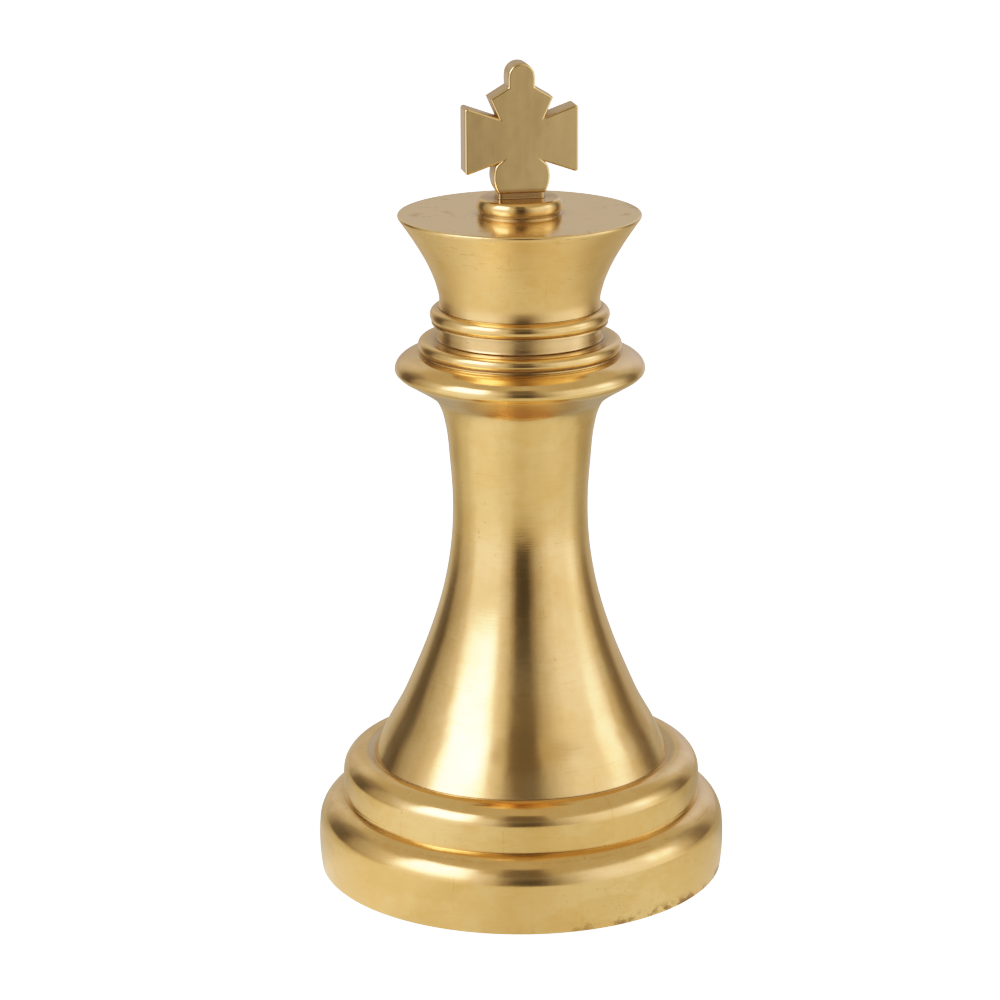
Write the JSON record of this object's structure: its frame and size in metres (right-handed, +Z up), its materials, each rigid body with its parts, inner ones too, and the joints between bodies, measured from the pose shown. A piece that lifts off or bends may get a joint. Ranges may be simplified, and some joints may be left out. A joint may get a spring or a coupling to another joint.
{
  "type": "giant chess king",
  "caption": "Tall turned chess king with a waisted trunk on a stepped round base, a wide collar, a flared crown and a flat cross that screws off; gold leaf finish.",
  "frame": {"origin": "centre of the surface that the king stands on, on the axis of its turned sections", "axes": "+Z up along the king's axis, -Y out of the front face of the cross, X along the arms of the cross"},
  "size_m": [0.4574, 0.4574, 0.912],
  "materials": {
    "gold_leaf": "satin",
    "steel": "satin",
    "brass": "satin",
    "rubber": "matte",
    "black_plastic": "matte",
    "fibre": "matte"
  },
  "bodies": {
    "root": {"base_plate": "black_plastic", "base_ring": "gold_leaf", "base_screw_1": "steel", "base_screw_2": "steel", "base_screw_3": "steel", "base_screw_4": "steel", "base_screw_5": "steel", "base_screw_6": "steel", "base_screw_7": "steel", "base_screw_8": "steel", "body_shell": "gold_leaf", "clamp_bridge": "steel", "collar_bead": "gold_leaf", "crown_bush": "brass", "crown_shell": "gold_leaf", "foot_1": "rubber", "foot_2": "rubber", "foot_3": "rubber", "foot_4": "rubber", "foot_5": "rubber", "foot_6": "rubber", "foot_screw_1": "steel", "foot_screw_2": "steel", "foot_screw_3": "steel", "foot_screw_4": "steel", "foot_screw_5": "steel", "foot_screw_6": "steel", "neck_bead": "gold_leaf", "neck_sleeve": "gold_leaf", "plinth": "gold_leaf", "plug_socket": "black_plastic", "rod_nut": "steel", "rod_washer": "steel", "tie_rod": "steel"},
    "finial_washer": {"finial_washer": "fibre"},
    "finial": {"finial_button": "gold_leaf", "finial_cross": "gold_leaf", "finial_stud": "steel"},
    "plug_seal": {"plug_seal": "rubber"},
    "fill_plug": {"fill_plug": "black_plastic"}
  },
  "joints": [
    {"name": "finial_turn", "type": "hinge", "parent": "root", "child": "finial_washer", "pos_m": [0, 0, 0.747], "axis": [0, 0, 1], "range_deg": [0, 4320]},
    {"name": "finial_rise", "type": "slide", "parent": "finial_washer", "child": "finial", "axis": [0, 0, 1], "range_m": [0, 0.0211]},
    {"name": "plug_turn", "type": "hinge", "parent": "root", "child": "plug_seal", "pos_m": [0, -0.105, 0.008], "axis": [0, 0, -1], "range_deg": [0, 1080]},
    {"name": "plug_drop", "type": "slide", "parent": "plug_seal", "child": "fill_plug", "axis": [0, 0, -1], "range_m": [0, 0.0091]}
  ],
  "couplings": [
    {"joint": "finial_rise", "follows": "finial_turn", "m_per_rad": 0.00027852},
    {"joint": "plug_drop", "follows": "plug_turn", "m_per_rad": 0.00047746}
  ]
}
